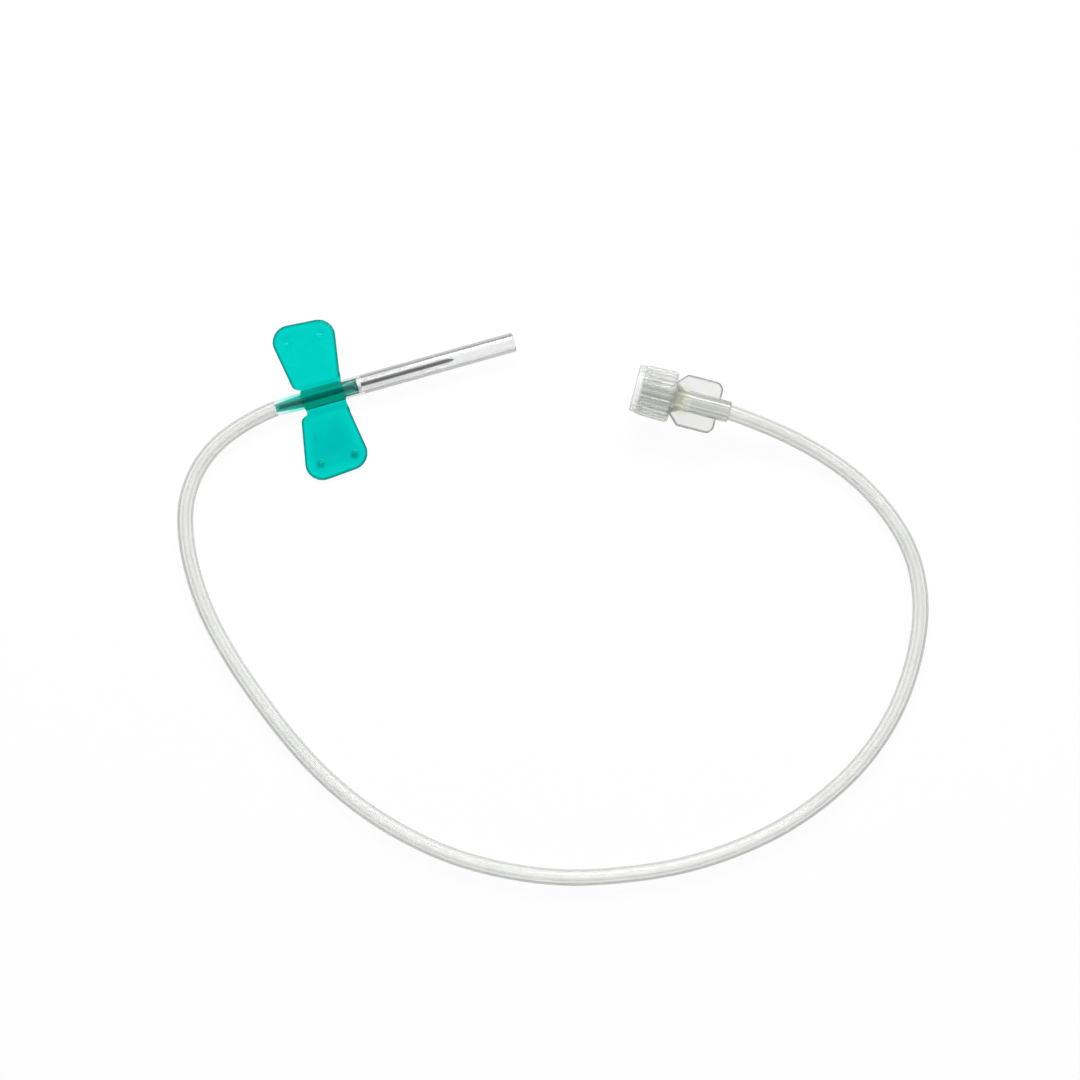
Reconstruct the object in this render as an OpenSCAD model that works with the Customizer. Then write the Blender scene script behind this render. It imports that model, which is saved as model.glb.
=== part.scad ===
// Winged needle set, in millimetres: a steel needle bonded into a soft hub with two wings,
// a clear sheath over the needle, clear tubing and a capped connector on its far end.
// X runs along the needle towards its point, Y across the wings, Z up.
// The origin lies under the middle of the hub, on the flat underside of the wings.

/* [Hub] */
// Outer diameter of the barrel between the wings
barrel_d = 3.8; // [3.4:0.1:5]
// Distance from the middle of the hub to the barrel's rear shoulder
web_rear = 3.4; // [3:0.1:4.3]
// Distance from the middle of the hub to the barrel's front shoulder
web_front = 4.5; // [3.6:0.1:5.6]
// Diameter of the nose that the sheath slips over
nose_d = 2.9; // [2.4:0.1:3.1]
// Length of the nose in front of the shoulder
nose_l = 3; // [2:0.1:6]
// Diameter of the bonding well in the nose's face
well_d = 2; // [1.3:0.1:2.2]
// Depth of the bonding well
well_depth = 0.9; // [0.4:0.1:1.8]
// Height of the bead that stands out of the well
bead_h = 0.7; // [0.3:0.1:1.5]
// Diameter of the rear spigot at its shoulder
spigot_root_d = 2.4; // [1.9:0.1:2.6]
// Diameter of the rear spigot at its end
spigot_tip_d = 1.6; // [1.3:0.1:1.7]
// Length of the rear spigot
spigot_l = 5.3; // [3:0.1:8]

/* [Wings] */
// Thickness of a wing's grip plate
wing_t = 0.9; // [0.7:0.1:1.5]
// Thickness of the thin web that lets a wing fold up
web_t = 0.55; // [0.4:0.05:0.65]
// Distance from the needle axis to where a grip plate starts
plate_root = 2.7; // [2.5:0.1:4]
// Distance from the needle axis to the grip plate's front outer corner
front_reach = 15.1; // [13:0.1:19]
// Distance from the needle axis to the grip plate's rear outer corner
rear_reach = 16.1; // [14:0.1:20]
// How far forward a grip plate reaches at its outer corner
plate_front = 6.4; // [5.8:0.1:8]
// How far back a grip plate reaches at its outer corner
plate_rear = 7; // [6:0.1:9]
// How far back a grip plate's shoulder reaches at its root
shoulder_rear = 4.7; // [4.5:0.1:5.4]
// Radius of a grip plate's outer corners
plate_corner_r = 3.3; // [1:0.1:4]
// Radius of a grip plate's rear shoulder
shoulder_r = 1.3; // [0.4:0.1:1.5]
// Diameter of the pips that lock the folded wings together
pip_d = 1.5; // [0.8:0.1:2]
// Height of the pips
pip_h = 0.35; // [0.2:0.05:0.5]
// Distance of the pips from the middle of the hub, along the needle
pip_x = 3.4; // [2:0.1:4]
// Distance of the pips from the needle axis
pip_y = 12.6; // [9:0.1:12.8]
// Clearance around a pip in its recess
pip_clear = 0.1; // [0.05:0.05:0.2]

/* [Needle] */
// Outer diameter of the needle
needle_d = 0.8; // [0.5:0.05:1.1]
// Bore of the needle
needle_bore = 0.5; // [0.3:0.05:0.55]
// Length of needle in front of the nose
needle_out = 19.6; // [12:0.1:26]
// Angle of the long bevel
bevel_angle = 14; // [11:0.5:20]
// Angle that the two short side grinds are turned by
lancet_turn = 38; // [30:1:45]
// How much steeper than the long bevel the side grinds are
lancet_extra = 6; // [3:0.5:9]
// Distance of the needle's inner end from the spigot's end
needle_inset = 0.4; // [0.2:0.1:2]
// Clearance between the needle and the hub around it
bond_clear = 0.01; // [0.01:0.01:0.04]

/* [Sheath] */
// Wall of the sheath
sheath_wall = 0.35; // [0.25:0.05:0.6]
// Length of the sheath
sheath_l = 34.2; // [30:0.1:40]
// Clearance between the nose and the sheath
sheath_slip = 0.05; // [0.02:0.01:0.1]
// Gap between the barrel's shoulder and the sheath
sheath_seat = 0.1; // [0.05:0.05:0.3]

/* [Tubing] */
// Outer diameter of the tubing
tube_d = 3; // [2.4:0.1:3.2]
// How much the tubing swells where it is stretched over the spigot's root
tube_swell = 0.3; // [0:0.1:0.5]
// Clearance between the tubing and what it is bonded over or into
tube_clear = 0.02; // [0.01:0.01:0.05]

/* [Connector] */
// Place of the connector's mouth on the table, as X and Y
lock_place = [59.5, -16.6];
// Direction from the connector's mouth to its tube end, in degrees from X
lock_turn = -31; // [-40:1:-20]
// Diameter of the tapered socket at its mouth
mouth_d = 4.3; // [4:0.05:4.4]
// Fall of the socket's diameter over its length, as a share of the length
taper = 0.06; // [0.05:0.01:0.07]
// Depth of the tapered socket
socket_depth = 7.5; // [7:0.1:8]
// Diameter of the barrel around the socket
front_d = 6; // [5.6:0.1:6.6]
// Length of the barrel around the socket
front_l = 5.7; // [5:0.1:7]
// Length of the cone behind that barrel
cone_l = 2.3; // [1.8:0.1:3]
// Diameter of the rear barrel that holds the tubing
rear_d = 4; // [3.9:0.1:4.6]
// Length of the rear barrel
rear_l = 9.1; // [8.5:0.1:12]
// Depth of the hole that holds the tubing
tube_socket_depth = 7.5; // [5:0.1:8]
// Bore that joins the two sockets
lumen_d = 1.5; // [0.8:0.1:1.8]
// Span over the two lock lugs
lug_span = 7.8; // [7.2:0.1:8]
// Thickness of a lug along the axis
lug_t = 1; // [0.6:0.1:1.4]
// Width of a lug
lug_w = 3.2; // [2:0.1:4]
// Thickness of the grip fins
fin_t = 0.9; // [0.6:0.1:1.4]
// Distance from the axis to a fin's outer edge
fin_reach = 5.1; // [4.4:0.1:6]
// Distance from the mouth to a fin's rear edge
fin_end = 14.9; // [13:0.1:17]
// Radius of a fin's rear corner
fin_r = 1.6; // [0.5:0.1:2]

/* [Cap] */
// Diameter over the grip ribs at the open rim
cap_d = 9.9; // [9.6:0.1:11]
// Fall of that diameter from the open rim to the closed end
cap_draft = 0.5; // [0.1:0.1:0.8]
// Height of the grip ribs
rib_h = 0.3; // [0.15:0.05:0.4]
// Width of a grip rib
rib_w = 0.55; // [0.3:0.05:0.7]
// How many grip ribs the cap has
rib_count = 24; // [12:1:30]
// Thickness of the cap's closed end
cap_end = 1.2; // [0.8:0.1:1.6]
// Gap between the closed end and the connector's mouth
cap_gap = 0.3; // [0.2:0.1:0.6]
// Length of the collar around the lugs
collar_l = 6.4; // [5:0.1:6.6]
// Clearance between the lugs and the collar
collar_clear = 0.1; // [0.05:0.05:0.2]
// Length of the tapered plug inside the cap
plug_l = 7; // [6:0.1:7.2]
// Clearance between the plug and the socket
plug_clear = 0.03; // [0.01:0.01:0.06]
// Bore of the hollow plug
plug_bore = 2; // [1.2:0.1:2.4]
// Width of the chamfers on the cap and the connector
edge = 0.3; // [0.1:0.05:0.35]

/* [Hidden] */
$fn = 64;
nothing = 0.01;

sheath_bore = nose_d + 2 * sheath_slip;
sheath_d = sheath_bore + 2 * sheath_wall;
axis_h = max(barrel_d, sheath_d) / 2;
nose_end = web_front + nose_l;
spigot_end = -web_rear - spigot_l;
needle_start = spigot_end + needle_inset;
needle_tip = nose_end + needle_out;
sheath_start = web_front + sheath_seat;
saddle_w = barrel_d + 1;
saddle_h = axis_h * 0.65;

lock_h = cap_d / 2;
cone_end = front_l + cone_l;
lock_l = cone_end + rear_l;
tube_stop = lock_l - tube_socket_depth;
collar_bore = lug_span + 2 * collar_clear;
cap_start = -cap_gap - cap_end;
fin_root = rear_d / 2 - 0.4;

// Middle of the tubing where it lies on the table
lie = tube_d / 2;
// How far the tubing's round ends reach into its free length
tube_lap = 0.3;
// The free route of the tubing, chosen by hand: round the loop from the hub to the connector
ROUTE = [
    [-12.9, -0.6, lie + 0.2], [-17.7, -1.9, lie], [-22.3, -4.1, lie], [-26.5, -7.7, lie],
    [-29.8, -12.9, lie], [-31.5, -19.4, lie], [-31.9, -27, lie], [-31.1, -35, lie],
    [-29.1, -43.3, lie], [-26.2, -51.8, lie], [-22.6, -60.6, lie], [-18.2, -69.2, lie],
    [-12.7, -77.2, lie], [-6.1, -84.4, lie], [1.5, -90.7, lie], [10.3, -95.9, lie],
    [19.9, -99.9, lie], [30.2, -102.4, lie], [40.8, -103.8, lie], [51.2, -103.7, lie],
    [61.3, -102.2, lie], [70.9, -99.1, lie], [79.7, -94.5, lie], [87.3, -88.3, lie],
    [93.2, -81, lie], [97.4, -73.3, lie], [99.5, -66, lie], [99.7, -59, lie],
    [98.1, -52.1, lie], [95.1, -45.4, lie], [91, -39.5, lie + 0.2], [86.2, -34.5, lie + 0.9],
    [81.1, -30.3, lie + 2.1]
];
tube_sides = 8;
// The swept length is a hair slimmer than the round ends that it runs into
swept_r = lie - tube_clear;
rings_per_point = 2;

function unit(v) = v / norm(v);

// The point on the connector's axis at distance d behind its mouth
function on_lock(d) = [
    lock_place.x + d * cos(lock_turn), lock_place.y + d * sin(lock_turn), lock_h
];

// Catmull-Rom curve between b and c, at share t of the way
function curve_at(a, b, c, d, t) =
    (2 * b + (c - a) * t + (2 * a - 5 * b + 4 * c - d) * t * t
     + (3 * b - a - 3 * c + d) * t * t * t) / 2;

// The whole centreline: the two straight ends give the curve its direction there
tube_knots = concat(
    [[-web_rear, 0, axis_h], [spigot_end - tube_clear, 0, axis_h]],
    ROUTE,
    [on_lock(lock_l), on_lock(tube_stop)]
);
tube_line = [
    for (i = [1 : len(tube_knots) - 3], k = [0 : rings_per_point - 1])
        curve_at(tube_knots[i - 1], tube_knots[i], tube_knots[i + 1], tube_knots[i + 2],
                 k / rings_per_point),
    tube_knots[len(tube_knots) - 2]
];

// Direction of the centreline at its ring i
function tube_way(i) = let (n = len(tube_line) - 1)
    i == 0 ? [-1, 0, 0]
    : i == n ? unit(on_lock(0) - on_lock(1))
    : unit(tube_line[i + 1] - tube_line[i - 1]);

// One ring of the tubing, square to the centreline, with a corner straight down
function tube_ring(i) = let (
        way = tube_way(i),
        side = unit(cross(way, [0, 0, 1])),
        up = cross(side, way)
    )
    [for (k = [0 : tube_sides - 1]) let (a = 360 * k / tube_sides)
        tube_line[i] + swept_r * (cos(a) * up + sin(a) * side)];

// Centre of a corner's arc, from the corner b, its neighbours and the arc's radius
function arc_centre(a, b, c, r) = let (
        u = unit(a - b), v = unit(c - b), half = acos(u * v) / 2
    )
    b + unit(u + v) * r / sin(half);

// The two points where that arc leaves the straight sides
function arc_ends(a, b, c, r) = let (
        u = unit(a - b), v = unit(c - b), half = acos(u * v) / 2
    )
    [b + u * r / tan(half), b + v * r / tan(half)];

// A convex outline with a true arc at each corner
module rounded_outline(corners, radii) {
    n = len(corners);
    polygon([
        for (i = [0 : n - 1])
            each arc_ends(corners[(i + n - 1) % n], corners[i], corners[(i + 1) % n], radii[i])
    ]);
    for (i = [0 : n - 1])
        translate(arc_centre(corners[(i + n - 1) % n], corners[i], corners[(i + 1) % n], radii[i]))
            circle(radii[i]);
}

// A round bar along X from x = a to x = b, with the diameters da and db at its ends
module bar(a, b, da, db = undef) {
    translate([a, 0, 0]) rotate([0, 90, 0])
        cylinder(h = b - a, d1 = da, d2 = is_undef(db) ? da : db);
}

module on_needle_axis() {
    translate([0, 0, axis_h]) children();
}

module on_lock_axis() {
    translate([lock_place.x, lock_place.y, lock_h]) rotate([0, 0, lock_turn]) children();
}

// Grip plate of the wing on the +Y side, flat on the table
module grip_plate() {
    linear_extrude(wing_t)
        rounded_outline(
            [[web_front, plate_root], [plate_front, front_reach],
             [-plate_rear, rear_reach], [-shoulder_rear, plate_root]],
            [edge, plate_corner_r, plate_corner_r, shoulder_r]
        );
}

// Thin web across both wings, and the saddle that carries the barrel on it
module web() {
    translate([-web_rear, -plate_root - 1, 0])
        cube([web_rear + web_front, 2 * plate_root + 2, web_t]);
    translate([-web_rear, 0, 0]) rotate([90, 0, 90])
        linear_extrude(web_rear + web_front)
            polygon([[-saddle_w / 2, 0], [saddle_w / 2, 0], [saddle_w / 2, web_t],
                     [barrel_d * 0.46, saddle_h], [-barrel_d * 0.46, saddle_h],
                     [-saddle_w / 2, web_t]]);
}

module pips(d, h) {
    for (x = [-pip_x, pip_x])
        translate([x, 0, 0]) cylinder(h = h, d1 = d, d2 = d * 0.8);
}

// Hub, nose, spigot and wings, moulded as one soft piece
module wing_moulding() {
    color([0.05, 0.7, 0.65])
    difference() {
        union() {
            grip_plate();
            mirror([0, 1, 0]) grip_plate();
            web();
            on_needle_axis() {
                bar(-web_rear, web_front, barrel_d);
                bar(web_front - nothing, nose_end, nose_d);
                bar(spigot_end, -web_rear + nothing, spigot_tip_d, spigot_root_d);
            }
            translate([0, -pip_y, wing_t]) pips(pip_d, pip_h);
        }
        on_needle_axis() {
            bar(spigot_end - 1, nose_end + 1, needle_d + 2 * bond_clear);
            bar(nose_end - well_depth, nose_end + nothing, needle_d + 2 * bond_clear, well_d);
        }
        // The recesses narrow downwards, as the pips narrow upwards
        translate([0, pip_y, wing_t + nothing]) mirror([0, 0, 1])
            pips(pip_d + 2 * pip_clear, pip_h + pip_clear);
    }
}

// Steel needle with a long bevel and two short side grinds, bevel upwards
module needle() {
    bevel_l = needle_d / tan(bevel_angle);
    grind_l = bevel_l * 0.45;
    color([0.75, 0.76, 0.78])
    on_needle_axis()
    difference() {
        bar(needle_start, needle_tip, needle_d);
        bar(needle_start - 1, needle_tip + 1, needle_bore);
        translate([needle_tip, 0, -needle_d / 2])
            rotate([0, bevel_angle, 0]) translate([-2 * bevel_l, -needle_d, 0])
                cube([3 * bevel_l, 2 * needle_d, 2 * needle_d]);
        for (side = [-1, 1])
            translate([needle_tip, 0, -needle_d / 2])
                rotate([side * lancet_turn, 0, 0])
                    rotate([0, bevel_angle + lancet_extra, 0])
                        translate([-grind_l, -needle_d, 0])
                            cube([2 * grind_l, 2 * needle_d, 2 * needle_d]);
    }
}

// Clear bead that bonds the needle into the nose: it fills the well and runs out along the needle
module bond_bead() {
    hole_r = needle_d / 2 + bond_clear;
    rim_r = well_d / 2 - bond_clear;
    // The bead's face falls from the rim to the needle in a hollow curve
    face = [for (t = [0 : 0.2 : 1])
        [rim_r + (hole_r - rim_r) * t, bead_h * t * t]];
    color([0.92, 0.93, 0.9])
    on_needle_axis()
    translate([nose_end, 0, 0]) rotate([0, 90, 0])
    rotate_extrude()
        polygon(concat([[hole_r, -well_depth + 0.1]], [[rim_r, 0]], face, [[hole_r, bead_h]]));
}

// Open clear tube that slips over the nose and keeps the needle clean
module needle_sheath() {
    color([0.9, 0.92, 0.93, 0.5])
    on_needle_axis()
    difference() {
        union() {
            bar(sheath_start, sheath_start + edge / 2, sheath_d - edge / 2, sheath_d);
            bar(sheath_start + edge / 2, sheath_start + sheath_l - edge / 2, sheath_d);
            bar(sheath_start + sheath_l - edge / 2, sheath_start + sheath_l,
                sheath_d, sheath_d - edge / 2);
        }
        bar(sheath_start - 1, sheath_start + sheath_l + 1, sheath_bore);
    }
}

// Tubing: its free length is swept along the route, and its round ends sit on the spigot
// and in the connector
module tubing() {
    n = len(tube_line);
    color([0.88, 0.89, 0.86, 0.7])
    union() {
        polyhedron(
            points = [for (i = [0 : n - 1]) each tube_ring(i)],
            faces = concat(
                [[for (k = [0 : tube_sides - 1]) k]],
                [for (i = [0 : n - 2], k = [0 : tube_sides - 1]) let (
                        j = (k + 1) % tube_sides, a = i * tube_sides, b = a + tube_sides
                    )
                    [a + j, a + k, b + k, b + j]],
                [[for (k = [tube_sides - 1 : -1 : 0]) (n - 1) * tube_sides + k]]
            )
        );
        on_needle_axis() difference() {
            bar(spigot_end - tube_lap, -web_rear - tube_clear, tube_d, tube_d + tube_swell);
            bar(spigot_end - tube_clear, -web_rear, spigot_tip_d + 2 * tube_clear,
                spigot_root_d + 2 * tube_clear);
        }
        on_lock_axis() bar(tube_stop + tube_clear, lock_l + tube_lap, tube_d);
    }
}

// One grip fin on the connector's +Y side
module fin() {
    beak = front_d / 2 - 0.1;
    translate([0, 0, -fin_t / 2])
    linear_extrude(fin_t) {
        rounded_outline(
            [[front_l + fin_reach - beak, fin_reach], [front_l, beak],
             [cone_end, fin_root], [fin_end, fin_root], [fin_end, fin_reach]],
            [0.6, 0.05, 0.05, 0.05, fin_r]
        );
    }
}

// Connector with a tapered socket and two lock lugs at its mouth, and a hole for the tubing
module lock_connector() {
    color([0.88, 0.9, 0.88, 0.6])
    on_lock_axis()
    difference() {
        union() {
            bar(0, front_l, front_d);
            bar(front_l, cone_end, front_d, rear_d);
            bar(cone_end, lock_l - edge, rear_d);
            bar(lock_l - edge, lock_l, rear_d, rear_d - edge);
            intersection() {
                bar(0, lug_t, lug_span);
                translate([0, -lug_span / 2, -lug_w / 2]) cube([lug_t, lug_span, lug_w]);
            }
            fin();
            mirror([0, 1, 0]) fin();
        }
        bar(-nothing, socket_depth, mouth_d, mouth_d - taper * socket_depth);
        bar(socket_depth - nothing, tube_stop + nothing, lumen_d);
        bar(tube_stop, lock_l + nothing, tube_d + 2 * tube_clear);
    }
}

// Screw cap with grip ribs outside and a hollow tapered plug inside
module lock_cap() {
    cap_rim = cap_start + cap_end + collar_l;
    root = 2 * rib_h;
    tip = -cap_gap + plug_l;
    plug_d = mouth_d - 2 * plug_clear;
    rib_l = cap_end + collar_l - 2 * edge;
    draft_angle = atan(cap_draft / 2 / rib_l);
    color([0.92, 0.93, 0.93, 0.6])
    on_lock_axis() {
        difference() {
            union() {
                bar(cap_start, cap_start + edge, cap_d - cap_draft - root - edge,
                    cap_d - cap_draft - root);
                bar(cap_start + edge, cap_rim, cap_d - cap_draft - root, cap_d - root);
                for (k = [0 : rib_count - 1])
                    rotate([360 * k / rib_count, 0, 0])
                        translate([cap_start + edge, -rib_w / 2, (cap_d - cap_draft) / 2])
                            rotate([0, -draft_angle, 0]) translate([0, 0, -root])
                                cube([rib_l, rib_w, root]);
            }
            bar(-cap_gap, cap_rim + nothing, collar_bore);
            bar(cap_rim - edge, cap_rim + nothing, collar_bore, collar_bore + edge);
        }
        difference() {
            bar(-cap_gap - nothing, tip, plug_d + taper * cap_gap, plug_d - taper * tip);
            bar(0, tip + nothing, plug_bore);
        }
    }
}

wing_moulding();
needle();
bond_bead();
needle_sheath();
tubing();
lock_connector();
lock_cap();
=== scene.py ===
# %% [markdown]
# # A winged needle set in clear and teal plastic
# The real object is a handful of soft and clear mouldings: a teal hub with two wings, a steel
# needle under a clear sheath, a loop of clear tubing, and a clear connector with a ribbed cap.
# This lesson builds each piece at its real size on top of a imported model, which is loaded
# first and gives every piece its place. Lengths in the code are millimetres, and they become
# metres when a mesh is made.

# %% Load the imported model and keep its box
import math

import bpy
import numpy as np
from mathutils import Matrix, Vector


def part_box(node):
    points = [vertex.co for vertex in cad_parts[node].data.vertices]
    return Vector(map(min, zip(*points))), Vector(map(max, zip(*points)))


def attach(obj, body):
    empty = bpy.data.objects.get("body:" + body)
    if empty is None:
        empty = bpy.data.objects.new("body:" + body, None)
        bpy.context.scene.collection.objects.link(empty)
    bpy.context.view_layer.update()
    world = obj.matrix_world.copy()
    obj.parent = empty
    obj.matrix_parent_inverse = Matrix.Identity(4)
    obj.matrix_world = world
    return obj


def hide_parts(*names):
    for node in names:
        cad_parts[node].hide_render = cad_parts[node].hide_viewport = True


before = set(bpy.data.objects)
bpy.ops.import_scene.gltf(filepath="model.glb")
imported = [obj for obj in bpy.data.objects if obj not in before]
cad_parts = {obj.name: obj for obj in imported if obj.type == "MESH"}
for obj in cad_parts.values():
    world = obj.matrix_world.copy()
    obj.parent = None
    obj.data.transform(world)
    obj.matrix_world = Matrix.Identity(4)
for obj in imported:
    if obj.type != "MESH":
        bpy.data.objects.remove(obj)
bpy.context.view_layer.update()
MM = 0.001


def box_mm(node):
    """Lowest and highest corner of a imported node, in millimetres."""
    low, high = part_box(node)
    return np.array(low) / MM, np.array(high) / MM


print("nodes:", ", ".join(sorted(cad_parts)))

# %% [markdown]
# ## Camera
# The photograph looks almost straight down. A camera can be set by angles, but here three
# arrows are worked out instead: where it looks, which way is up in the picture, and which
# way is right. Put side by side they are the camera's own axes, so nothing has to be tuned.

# %% Camera above the table
LOOK_AT = np.array([33.0, -38.3, 0.0]) * MM
DISTANCE = 270 * MM
ELEVATION = math.radians(82)
UP_HEADING = math.radians(73.93)
LENS_MM = 47.13


def add_camera():
    """Camera axes: backward from the elevation and heading, right and up by cross products."""
    heading = np.array([math.cos(UP_HEADING), math.sin(UP_HEADING), 0.0])
    backward = -math.cos(ELEVATION) * heading + math.sin(ELEVATION) * np.array([0, 0, 1.0])
    right = np.cross(heading, [0, 0, 1.0])
    up = np.cross(backward, right)
    place = Matrix.Identity(4)
    for column, axis in enumerate((right, up, backward)):
        for row in range(3):
            place[row][column] = axis[row]
    place.translation = LOOK_AT + DISTANCE * backward
    data = bpy.data.cameras.new("camera")
    data.lens = LENS_MM
    data.sensor_width = 36
    data.clip_start = 0.005
    camera = bpy.data.objects.new("camera", data)
    camera.matrix_world = place
    bpy.context.scene.collection.objects.link(camera)
    bpy.context.scene.camera = camera
    return heading


picture_up = add_camera()
print("camera looks down from", DISTANCE / MM, "mm")

# %% [markdown]
# ## Turning arrays into meshes
# Two ways of making a surface serve the whole object. A turned or swept piece is a grid of
# points, rings along and points around, and its faces follow from the grid alone. A moulded
# piece has fillets where its forms run together, and those are easier to say as a distance
# field: a formula that is negative inside the plastic and positive outside.

# %% Grid meshes
PIECES = bpy.data.collections.new("pieces")
bpy.context.scene.collection.children.link(PIECES)


def make_piece(name, points, faces, normals=None, uv=None):
    """A smooth mesh object from points in millimetres and an array of quads or triangles."""
    mesh = bpy.data.meshes.new(name)
    mesh.from_pydata((np.asarray(points) * MM).tolist(), [], np.asarray(faces).tolist())
    mesh.update()
    mesh.shade_smooth()
    if uv is not None:
        layer = mesh.uv_layers.new(name="UVMap")
        corners = np.empty(len(mesh.loops), dtype=np.int64)
        mesh.loops.foreach_get("vertex_index", corners)
        layer.data.foreach_set("uv", uv[corners].astype(np.float32).ravel())
    if normals is not None:
        mesh.normals_split_custom_set_from_vertices(normals.tolist())
    piece = bpy.data.objects.new(name, mesh)
    PIECES.objects.link(piece)
    print(f"{name}: {len(mesh.polygons)} faces")
    return piece


def grid_faces(rows, columns):
    """Quads of a grid that closes round its columns and round its rows."""
    r = np.arange(rows)[:, None]
    c = np.arange(columns)[None, :]
    r2, c2 = (r + 1) % rows, (c + 1) % columns
    return np.stack(
        [r * columns + c, r * columns + c2, r2 * columns + c2, r2 * columns + c], axis=-1
    ).reshape(-1, 4)


def turned_piece(name, profile, height, around=96):
    """A ring-shaped piece turned about the needle axis, at that height above the table.

    profile is a closed outline of (x, radius) pairs, in the order that puts the plastic on
    its left. Point (i, a) is (x_i, r_i sin a, height + r_i cos a).
    """
    x, r = np.asarray(profile, dtype=float).T
    a = np.linspace(0, 2 * math.pi, around, endpoint=False)
    points = np.stack(
        [
            np.repeat(x[:, None], around, 1),
            r[:, None] * np.sin(a),
            height + r[:, None] * np.cos(a),
        ],
        axis=-1,
    ).reshape(-1, 3)
    return make_piece(name, points, grid_faces(len(x), around))


def rounded_corner(cx, cr, radius, start_deg, end_deg, steps=6):
    """Points of an arc in the profile plane, about the centre (cx, cr)."""
    t = np.radians(np.linspace(start_deg, end_deg, steps))
    return list(zip(cx + radius * np.cos(t), cr + radius * np.sin(t)))


# %% [markdown]
# A distance field is turned into a mesh by a surface net. The space is cut into small cells.
# Where the field changes sign along a cell's edge, the surface crosses that edge, and the
# mean of a cell's crossings is its vertex. Cells round a crossed edge share a quad. A last
# step moves each vertex along the field's slope onto the surface itself, and keeps the slope
# as its normal, so that clear plastic refracts without ripples.

# %% Surface net over a distance field
OTHER_AXES = {0: (1, 2), 1: (2, 0), 2: (0, 1)}


def slope(field, p, step=0.01):
    """Gradient of the field at points p, by central differences."""
    g = np.empty_like(p)
    for axis in range(3):
        d = np.zeros(3)
        d[axis] = step
        g[:, axis] = (field(*(p + d).T) - field(*(p - d).T)) / (2 * step)
    return g


def surface_net(field, axes):
    """Vertices, quads and normals of the surface where field is zero, on a box of cells."""
    grid = np.ix_(*axes)
    f = np.broadcast_to(field(*grid), [len(a) for a in axes])
    cells = [n - 1 for n in f.shape]
    total = np.zeros(cells + [3])
    count = np.zeros(cells)
    crossings = []
    for axis in range(3):
        low = np.take(f, range(f.shape[axis] - 1), axis)
        high = np.take(f, range(1, f.shape[axis]), axis)
        hit = (low < 0) != (high < 0)
        crossings.append((hit, low < 0))
        where = np.nonzero(hit)
        share = low[where] / (low[where] - high[where])
        point = np.stack([axes[k][where[k]] for k in range(3)], axis=-1)
        a = axes[axis]
        point[:, axis] += share * (a[where[axis] + 1] - a[where[axis]])
        j, k = OTHER_AXES[axis]
        for dj in (0, 1):
            for dk in (0, 1):
                cell = [w.copy() for w in where]
                cell[j] -= dj
                cell[k] -= dk
                ok = (cell[j] >= 0) & (cell[k] >= 0)
                ok &= (cell[j] < cells[j]) & (cell[k] < cells[k])
                spot = tuple(c[ok] for c in cell)
                np.add.at(total, spot, point[ok])
                np.add.at(count, spot, 1)
    active = count > 0
    index = np.full(cells, -1)
    index[active] = np.arange(active.sum())
    points = total[active] / count[active][:, None]
    quads = []
    for axis, (hit, inside_first) in enumerate(crossings):
        where = np.nonzero(hit)
        j, k = OTHER_AXES[axis]
        ok = (where[j] > 0) & (where[k] > 0) & (where[j] < cells[j]) & (where[k] < cells[k])
        where = [w[ok] for w in where]
        ring = []
        for dj, dk in ((1, 1), (0, 1), (0, 0), (1, 0)):
            cell = [w.copy() for w in where]
            cell[j] -= dj
            cell[k] -= dk
            ring.append(index[tuple(cell)])
        ring = np.stack(ring, axis=-1)
        flip = ~inside_first[tuple(where)]
        ring[flip] = ring[flip][:, ::-1]
        quads.append(ring)
    for _ in range(2):
        g = slope(field, points)
        points = points - g * (field(*points.T) / (g**2).sum(axis=1).clip(0.2))[:, None]
    g = slope(field, points)
    normals = g / np.linalg.norm(g, axis=1, keepdims=True).clip(1e-9)
    return points, np.concatenate(quads), normals


def steps_of(low, high, step):
    """Even steps from just under low to just over high."""
    return np.arange(low - 1.5 * step, high + 2 * step, step)


# %% [markdown]
# The fields themselves are built from three moves: a round bar or a flat plate with a small
# radius on its edges, a soft union that leaves a fillet, and a cut. Real mouldings have no
# sharp edge anywhere, so every form here carries a radius.

# %% Shapes as distance fields
def rounded(first, second, r):
    """Where two distances meet, the inside corner of the pair is rounded by r."""
    a, b = first + r, second + r
    return np.minimum(np.maximum(a, b), 0) + np.hypot(np.maximum(a, 0), np.maximum(b, 0)) - r


def between(v, low, high):
    """Distance outside the band from low to high."""
    return np.abs(v - (low + high) / 2) - (high - low) / 2


def blend(a, b, k):
    """Soft union: the smaller distance, less a fillet of about k where they are alike."""
    h = np.clip(0.5 + 0.5 * (b - a) / k, 0, 1)
    return b * (1 - h) + a * h - k * h * (1 - h)


def cut(a, b):
    """What is left of a when b is taken away."""
    return np.maximum(a, -b)


def bar(x, radial, low, high, r_low, r_high=None, edge=0.1):
    """A round bar along x, with a radius at each end and rounded rims."""
    r_high = r_low if r_high is None else r_high
    share = np.clip((x - low) / (high - low), 0, 1)
    lean = math.hypot(high - low, r_high - r_low) / (high - low)
    wall = (radial - (r_low + (r_high - r_low) * share)) / lean
    return rounded(wall, between(x, low, high), edge)


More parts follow.
